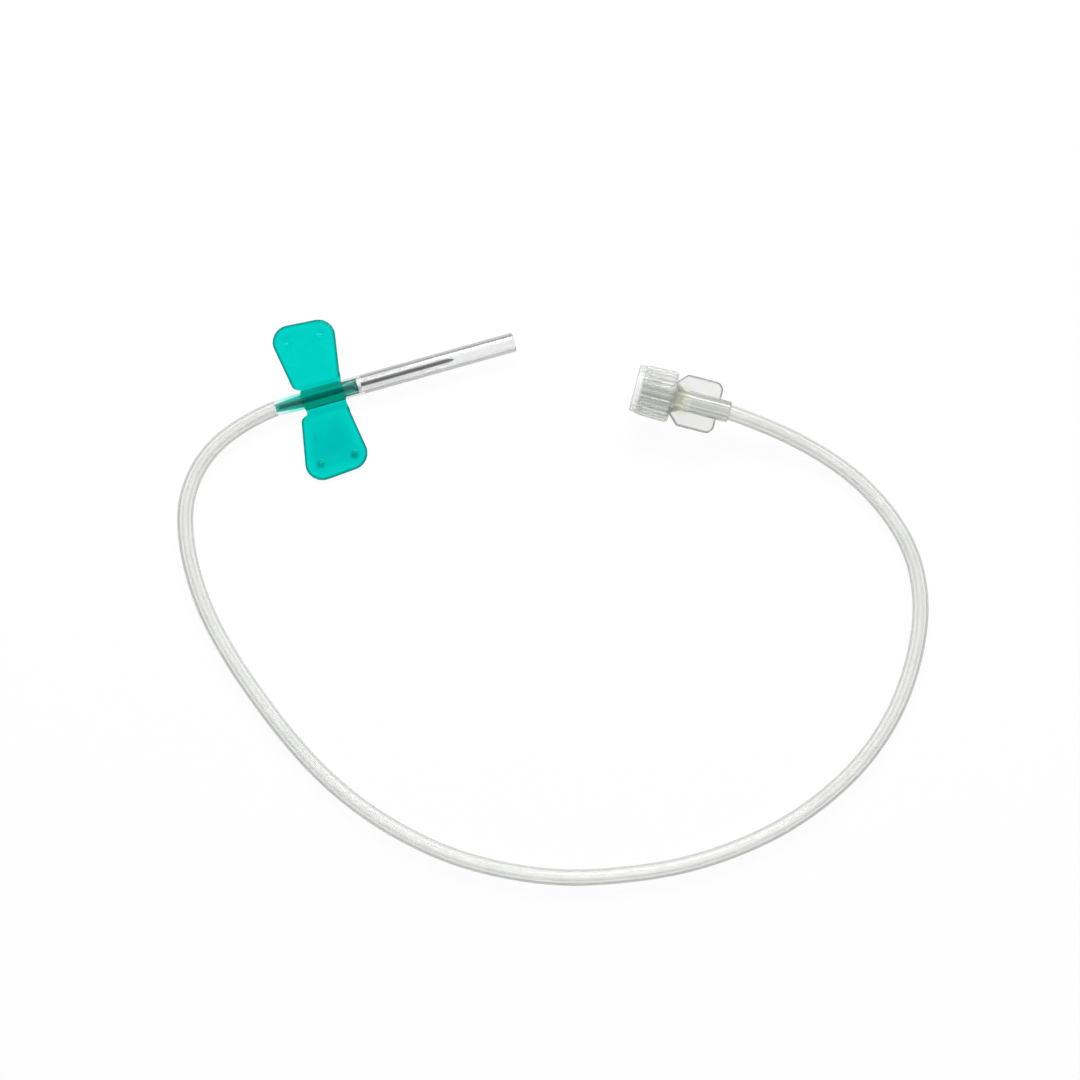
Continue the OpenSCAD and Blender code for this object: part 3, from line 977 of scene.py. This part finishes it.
# %% [markdown]
# ## Sheath
# The sheath is a cut length of thin clear tube. Its ends are cut square and slightly melted
# over, so each rim has a small radius, and its walls carry faint lines from the die that run
# its whole length.

# %% Sheath as a turned ring
SHEATH_R = (sheath_high[2] - sheath_low[2]) / 2
SHEATH_SLIP = 0.05
SHEATH_BORE_R = NOSE_R + SHEATH_SLIP
RIM = (SHEATH_R - SHEATH_BORE_R) / 2


def sheath_profile():
    """Outer wall forward, round the front rim, bore back, round the rear rim."""
    middle = (SHEATH_R + SHEATH_BORE_R) / 2
    front = rounded_corner(sheath_high[0] - RIM, middle, RIM, 90, -90, 9)
    rear = rounded_corner(sheath_low[0] + RIM, middle, RIM, 270, 90, 9)
    return front + rear


sheath = turned_piece("sheath_clear", sheath_profile(), AXIS_H)
# The sheath's edges are darkened a little at grazing angles: painted shade.
sheath_plastic = plastic(
    "clear_sheath",
    dark=(0.89, 0.90, 0.90),
    light=(0.95, 0.955, 0.95),
    roughness=(0.04, 0.12),
    ior=1.5,
    transmission=0.93,
    bump=0.02,
    cloud_size=900.0,
    grain_size=5000.0,
    stretch=(0.04, 1.0, 1.0),
    wetted=(("Object", (NOSE_END + 0.9) * MM, (NOSE_END + 1.2) * MM, 0.75),),
    grazing=(0.4, 0.9, 0.2),
    passing=0.38,
)
dress(sheath, sheath_plastic, "sheath", "needle_sheath", slot="needle_sheath")

# %% [markdown]
# ## Connector
# The far end is a clear rigid moulding: a barrel with a slightly tapered socket, two small
# lugs at its mouth, a cone, and a slimmer barrel that the tubing is bonded into. Two flat fins
# give the fingers a hold. It is made in its own straight frame, along x from the mouth, and
# its points are then turned and moved to where it lies.

# %% Connector as a field, in its own frame
FRONT_R, REAR_R, LUG_R = 3.0, 2.0, 3.9
SOCKET_R, SOCKET_TAPER, SOCKET_DEPTH = 2.15, 0.03, 7.5
LUG_L, LUG_HALF = 1.0, 1.6
FIN = corner_arcs(
    [[FRONT_L + 2.2, 5.1], [FRONT_L, 2.9], [CONE_END, 1.6], [14.9, 1.6], [14.9, 5.1]],
    [0.6, 0.12, 0.05, 0.05, 1.6],
)
FIN_T = 0.9
LOCK_EDGE = 0.15


def connector_field(x, y, z):
    """Union of barrel, cone, rear barrel, lugs and fins, less the sockets and lumen."""
    radial = np.hypot(y, z)
    body = bar(x, radial, 0, FRONT_L + 0.1, FRONT_R, edge=0.12)
    body = np.minimum(body, bar(x, radial, FRONT_L, CONE_END, FRONT_R, REAR_R, edge=0.02))
    body = blend(body, bar(x, radial, CONE_END - 0.5, LOCK_LENGTH, REAR_R, edge=0.3), 0.12)
    lug = np.maximum(bar(x, radial, 0, LUG_L, LUG_R, edge=LOCK_EDGE), np.abs(z) - LUG_HALF)
    body = blend(body, lug, 0.12)
    fin_plan = outline_distance(x, np.abs(y), FIN)
    body = blend(body, rounded(fin_plan, np.abs(z) - FIN_T / 2, 0.38), 0.15)
    taper = (radial - (SOCKET_R - SOCKET_TAPER * np.clip(x, -1, 9))) * 0.999
    body = cut(body, np.maximum(taper, x - SOCKET_DEPTH))
    body = cut(body, np.maximum(radial - BORE_R, between(x, 7, TUBE_STOP + 0.1)))
    return cut(body, np.maximum(radial - TUBE_R - 0.02, TUBE_STOP - x))


def lock_piece(name, field, low, high, step):
    """A moulded piece on the connector's axis, from its field and its reach.

    The net is made in the connector's own frame, then turned about Z and moved.
    """
    axes = [steps_of(a, b, step) for a, b in zip(low, high)]
    points, quads, normals = surface_net(field, axes)
    c, s = math.cos(LOCK_TURN), math.sin(LOCK_TURN)
    turn = np.array([[c, s, 0], [-s, c, 0], [0, 0, 1]])
    return make_piece(name, points @ turn + LOCK_PLACE, quads, normals @ turn)


connector = lock_piece(
    "lock_connector_clear", connector_field, (0, -5.2, -3.1), (LOCK_LENGTH, 5.2, 3.1), 0.105
)


# %% Painted edge shade, adhesive stain and clearer walls on the connector
def lock_frame(piece):
    """Each vertex in the connector's own frame: along its axis, across it, and upward."""
    c, s = math.cos(LOCK_TURN), math.sin(LOCK_TURN)
    x, y, z = (vertices_mm(piece) - LOCK_PLACE).T
    return c * x + s * y, -s * x + c * y, z


def fin_edge_shade(piece):
    """Painted shade: one along the fins' outline, falling off within 0.4 mm of it."""
    along, across, _ = lock_frame(piece)
    inwards = -outline_distance(along, np.abs(across), FIN)
    fin_only = (np.abs(across) > 2.3) & (along > FRONT_L - 0.2)
    return np.clip(1.5 - inwards / 0.28, 0, 1) * fin_only


def neck_stain(piece):
    """One at the neck and cone, where adhesive has run, and nought a little further on."""
    along, across, up = lock_frame(piece)
    starts = np.clip((along - FRONT_L + 0.6) / 0.6, 0, 1)
    stops = np.clip((CONE_END + 1.6 - along) / 1.4, 0, 1)
    return starts * stops * np.clip((FRONT_R - np.hypot(across, up)) / 0.4, 0, 1)


def inner_walls(piece, limits):
    """One on walls nearer to the lock's axis than a limit, which changes along the axis.

    limits lists (distance along the axis, radius), and runs straight between them.
    """
    along, across, up = lock_frame(piece)
    places, radii = np.array(limits).T
    return np.where(np.hypot(across, up) < np.interp(along, places, radii), 1.0, 0.0)


CONNECTOR_HOLLOW = [(0, 2.3), (7.5, 2.1), (7.7, 0.9), (9.4, 0.9), (9.5, 1.6)]
UNDER_CAP = [(0, 9.0), (5.6, 9.0), (5.8, 0.0)]
adhesive = neck_stain(connector)
# The fins' outline is painted shade.
paint(connector, "rim", fin_edge_shade(connector))
paint(connector, "stain_and_shade", adhesive)
paint(connector, "open", np.maximum(inner_walls(connector, CONNECTOR_HOLLOW), 0.5 * adhesive))
paint(connector, "plain", inner_walls(connector, UNDER_CAP))

# %% Clear rigid plastic
# Painted light and shade: the rim attribute darkens the fins' outline, grazing angles darken the
# edges, and bands draw light and dark lines along the round barrels.
rigid_clear = plastic(
    "clear_rigid_plastic",
    dark=(0.95, 0.955, 0.925),
    light=(0.985, 0.985, 0.97),
    roughness=(0.03, 0.09),
    ior=1.53,
    transmission=0.93,
    bump=0.01,
    cloud_size=350.0,
    grain_size=4000.0,
    grazing=(0.4, 0.95, 0.55),
    rim=0.85,
    passing=0.12,
    opened=0.8,
    stain_and_shade=((0.66, 0.71, 0.42), "Satin", 0.15),
    painted_bands=(
        (0.0, 0.76), (0.015, 0.76), (0.03, 1.0), (0.055, 1.0), (0.09, 0.44), (0.14, 0.5),
        (0.19, 1.0), (0.30, 1.0), (0.40, 0.5), (0.55, 0.92), (1.0, 0.5),
    ),
)
dress(connector, rigid_clear, "wing_set", "lock_connector", slot="lock_connector")

# %% [markdown]
# ## Cap
# The cap is a short ribbed cup with a thick end wall. Inside it carries a hollow tapered plug
# that seals the socket, and two thread ridges that the connector's lugs run along. The ribs
# and ridges come from cosines: one wave round the outside, and one that also climbs along x.

# %% Cap as a field, in the connector's frame
CAP_START, CAP_RIM = -1.5, 6.1
RIB_COUNT, RIB_H = 24, 0.26
COLLAR_R, COLLAR_FLOOR = 4.0, -0.3
THREAD_LEAD, THREAD_H = 5.0, 0.2
PLUG_ROOT_R, PLUG_TIP_R, PLUG_END, PLUG_BORE_R = 2.14, 1.92, 6.7, 1.0


def cap_field(x, y, z):
    """Ribbed cup with a tapered plug and a two-start thread in its collar."""
    radial = np.hypot(y, z)
    angle = np.arctan2(y, z)
    share = np.clip((x - CAP_START) / (CAP_RIM - CAP_START), 0, 1)
    crest = LOCK_H - 0.25 * (1 - share)
    wave = np.clip(0.5 + 0.8 * np.cos(RIB_COUNT * angle), 0, 1)
    starts = np.clip((x - CAP_START - 0.5) / 1.4, 0, 1)
    stops = np.clip((CAP_RIM - 0.25 - x) / 0.5, 0, 1)
    skin = (radial - crest + RIB_H * (1 - wave * starts * stops)) * 0.85
    cup = rounded(skin, between(x, CAP_START, CAP_RIM), 0.3)
    climb = np.cos(2 * (angle - 2 * math.pi * x / THREAD_LEAD))
    held = np.clip((x - 1.3) / 0.4, 0, 1) * np.clip((5.5 - x) / 0.5, 0, 1)
    ridge = THREAD_H * np.clip(1.3 * climb - 0.3, 0, 1) * held
    cup = cut(cup, np.maximum((radial - COLLAR_R + ridge) * 0.8, COLLAR_FLOOR - x))
    plug = bar(x, radial, 2 * COLLAR_FLOOR, PLUG_END, PLUG_ROOT_R, PLUG_TIP_R, edge=0.15)
    cup = blend(cup, plug, 0.15)
    return cut(cup, np.maximum(radial - PLUG_BORE_R, -x))


cap = lock_piece(
    "lock_cap_clear", cap_field, (CAP_START, -4.95, -4.95), (PLUG_END, 4.95, 4.95), 0.11
)


def cap_painted_shade(piece):
    """Painted shade: high in the valleys between the ribs, and in a ring where the hollow's
    floor lies.
    """
    along, across, up = lock_frame(piece)
    wave = 0.5 + 0.5 * np.cos(RIB_COUNT * np.arctan2(across, up))
    outside = np.clip((np.hypot(across, up) - COLLAR_R - 0.1) / 0.2, 0, 1)
    ends = np.clip((along - CAP_START - 0.9) / 1.2, 0, 1)
    ring = np.exp(-(((along + 0.25) / 0.17) ** 2)) * 0.55
    return np.maximum((1 - wave) ** 2 * 0.5 * ends, ring) * outside


CAP_HOLLOW = [(-1.2, 0.0), (-1.1, 4.1), (6.0, 4.1), (6.1, 4.6)]
# The rib valleys and the floor ring are painted shade.
paint(cap, "rim", cap_painted_shade(cap))
paint(cap, "open", inner_walls(cap, CAP_HOLLOW))

# %% Clear cap plastic
# Painted shade: darker edges at grazing angles, in the rib valleys and at the hollow's floor,
# towards a grey.
cap_plastic = plastic(
    "clear_cap_plastic",
    dark=(0.96, 0.965, 0.945),
    light=(0.99, 0.99, 0.98),
    roughness=(0.07, 0.13),
    ior=1.40,
    transmission=0.66,
    grazing=(0.6, 1.0, 0.4),
    passing=0.42,
    opened=0.93,
    rim=0.6,
    shade_colour=(0.26, 0.27, 0.25),
    bump=0.02,
    cloud_size=500.0,
    grain_size=3500.0,
)
dress(cap, cap_plastic, "cap", "lock_cap", slot="lock_cap")

# %% [markdown]
# ## Table and light
# Clear plastic shows what is round it, so the surroundings are part of the material. The
# table glows white to the camera and through the plastic, and still takes a little shadow.
# The sky is bright overhead and greyer near the horizon: rays that bend sideways in a rim
# pick up that grey, and draw the thin dark outlines that clear pieces have on white.

# %% White table
GLOW_NEAR, GLOW_FAR, GLOW_DARK = 0.14, 0.26, 0.08
GLOW_SHIFT = -0.05
GLOW_IN_GLOSS = 0.3
GLOW_SHARE = 0.95


def mirrored_rays(tree, path):
    """One where a ray was mirrored, and nought where it came through clear plastic."""
    rays = path["Is Glossy Ray"], path["Is Transmission Ray"]
    return map_range(tree, combine(tree, "SUBTRACT", *rays), 0, 1, 0, 1)


def bent_rays(tree, path):
    """One where a ray was mirrored or came through clear plastic."""
    rays = path["Is Glossy Ray"], path["Is Transmission Ray"]
    return combine(tree, "MAXIMUM", *rays)


def white_table():
    """White where the camera sees it. Bent rays find it white near the object only."""
    material, tree = new_material("white_table")
    nodes, links = tree.nodes, tree.links
    nodes.remove(nodes["Principled BSDF"])
    path = nodes.new("ShaderNodeLightPath").outputs
    place = nodes.new("ShaderNodeTexCoord")
    away = nodes.new("ShaderNodeVectorMath")
    away.operation = "DISTANCE"
    away.inputs[1].default_value = tuple(LOOK_AT + GLOW_SHIFT * picture_up)
    links.new(place.outputs["Object"], away.inputs[0])
    near = map_range(tree, away.outputs["Value"], GLOW_NEAR, GLOW_FAR, 1.0, GLOW_DARK)
    dim = map_range(tree, mirrored_rays(tree, path), 0, 1, 1.0, GLOW_IN_GLOSS)
    bent = combine(tree, "MULTIPLY", near, dim)
    level = combine(tree, "MAXIMUM", bent, path["Is Camera Ray"])
    matt = nodes.new("ShaderNodeBsdfDiffuse")
    matt.inputs["Color"].default_value = (0.86, 0.86, 0.86, 1)
    glow = nodes.new("ShaderNodeEmission")
    glow.inputs["Color"].default_value = (1, 1, 1, 1)
    links.new(level, glow.inputs["Strength"])
    seen = combine(tree, "MAXIMUM", path["Is Camera Ray"], bent_rays(tree, path))
    share = map_range(tree, seen, 0, 1, 0.0, GLOW_SHARE)
    mix = mix_shaders(tree, share, matt, glow)
    links.new(mix.outputs[0], nodes["Material Output"].inputs["Surface"])
    return material


TABLE_HALF, TABLE_Z = 3.0, -0.05 * MM
table_mesh = bpy.data.meshes.new("table")
table_mesh.from_pydata(
    [(a * TABLE_HALF, b * TABLE_HALF, TABLE_Z) for a, b in ((-1, -1), (1, -1), (1, 1), (-1, 1))],
    [],
    [(0, 1, 2, 3)],
)
table = bpy.data.objects.new("table", table_mesh)
bpy.context.scene.collection.objects.link(table)
table_mesh.materials.append(white_table())


# %% Sky and lamps
SKY_LIGHT = 0.42
SKY_DARK, SKY_PLACES = (0.06, 0.065, 0.06), (0.2, 0.75)
SKY_IN_GLOSS = 0.3


def studio_sky():
    """White to what is seen, greyer at the horizon for bent rays, and plain for lighting."""
    world = bpy.data.worlds.new("studio")
    bpy.context.scene.world = world
    world.use_nodes = True
    tree = world.node_tree
    nodes, links = tree.nodes, tree.links
    plain = nodes["Background"]
    plain.inputs["Color"].default_value = (1, 1, 1, 1)
    plain.inputs["Strength"].default_value = SKY_LIGHT
    height = coordinate(tree, "Generated", "Z")
    bent = nodes.new("ShaderNodeBackground")
    shade = colour_range(tree, height, SKY_DARK, (1, 1, 1), SKY_PLACES)
    links.new(shade, bent.inputs["Color"])
    path = nodes.new("ShaderNodeLightPath").outputs
    dim = map_range(tree, mirrored_rays(tree, path), 0, 1, 1.0, SKY_IN_GLOSS)
    links.new(dim, bent.inputs["Strength"])
    white = nodes.new("ShaderNodeBackground")
    white.inputs["Color"].default_value = (1, 1, 1, 1)
    white.inputs["Strength"].default_value = 1.0
    lighting = mix_shaders(tree, bent_rays(tree, path), plain, bent)
    sky = mix_shaders(tree, path["Is Camera Ray"], lighting, white)
    links.new(sky.outputs[0], nodes["World Output"].inputs["Surface"])


def add_lamp(name, place, size, watts):
    """A square soft lamp that faces the middle of the object."""
    data = bpy.data.lights.new(name, "AREA")
    data.shape = "SQUARE"
    data.size = size
    data.energy = watts
    lamp = bpy.data.objects.new(name, data)
    lamp.location = place
    aim = Vector(LOOK_AT - np.array(place))
    lamp.rotation_euler = aim.to_track_quat("-Z", "Y").to_euler()
    bpy.context.scene.collection.objects.link(lamp)


studio_sky()
key_place = LOOK_AT + 0.42 * picture_up + np.array([-0.05, 0.0, 0.36])
add_lamp("key", tuple(key_place), size=0.22, watts=2.3)
add_lamp("side", (0.30, 0.26, 0.34), size=0.16, watts=1.1)
bpy.context.scene.view_settings.view_transform = "Standard"
